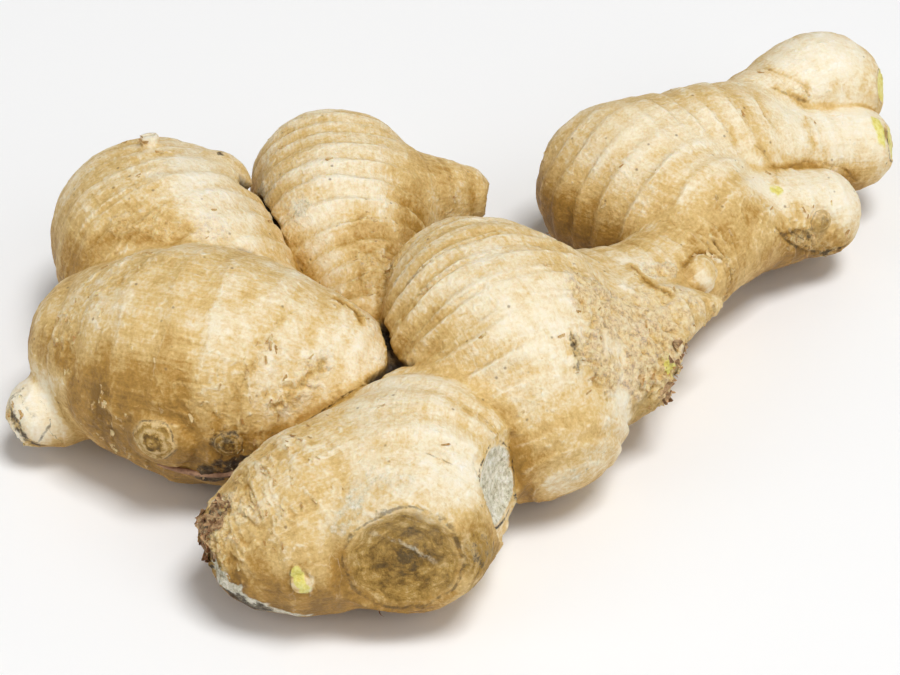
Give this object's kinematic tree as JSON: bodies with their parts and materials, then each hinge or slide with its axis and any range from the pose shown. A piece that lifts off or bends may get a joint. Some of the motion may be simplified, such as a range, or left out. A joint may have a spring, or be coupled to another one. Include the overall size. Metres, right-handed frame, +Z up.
{
  "type": "ginger root",
  "caption": "Fresh ginger rhizome lying on its side knobs, with ringed swollen joints, short fingers, buds and old shoot scars.",
  "frame": {"origin": "middle of the rhizome's plan outline, on the surface that it rests on", "axes": "+X from the left knobs to the fingers on the right, +Y away from the old shoot scar at the front, +Z up"},
  "size_m": [0.1765, 0.1581, 0.0443],
  "materials": {
    "skin": "dry papery buff skin with paler growth-ring edges, matt to faintly satin"
  },
  "bodies": {
    "root": {"rhizome": "skin"}
  },
  "joints": []
}
